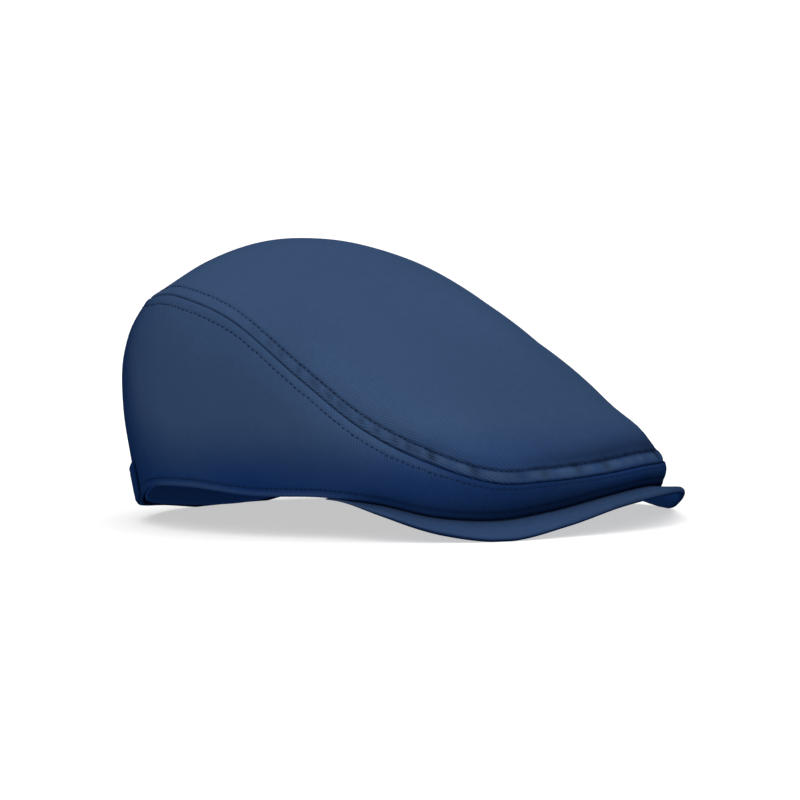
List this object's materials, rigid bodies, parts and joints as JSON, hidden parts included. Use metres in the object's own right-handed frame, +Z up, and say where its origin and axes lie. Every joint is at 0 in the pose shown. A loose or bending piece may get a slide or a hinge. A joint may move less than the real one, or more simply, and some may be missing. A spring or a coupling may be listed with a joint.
{
  "type": "flat bill cap",
  "caption": "Soft flat bill cap in twill: a domed top panel over two side panels, stiff front bill, inner sweatband and back strap.",
  "frame": {"origin": "middle of the cap's length and width, on the surface that it rests on", "axes": "+X to the front, where the bill is, +Y to the wearer's left, +Z up"},
  "size_m": [0.2692, 0.1876, 0.1244],
  "materials": {
    "twill": "navy cotton twill, matt",
    "bill_twill": "navy cotton twill over stiff board, matt",
    "band": "dark navy cotton tape, matt",
    "strap_twill": "navy cotton twill, matt"
  },
  "bodies": {
    "root": {"crown_top": "twill", "side_right": "twill", "side_left": "twill", "bill": "bill_twill", "sweatband": "band", "back_strap": "strap_twill"}
  },
  "joints": []
}
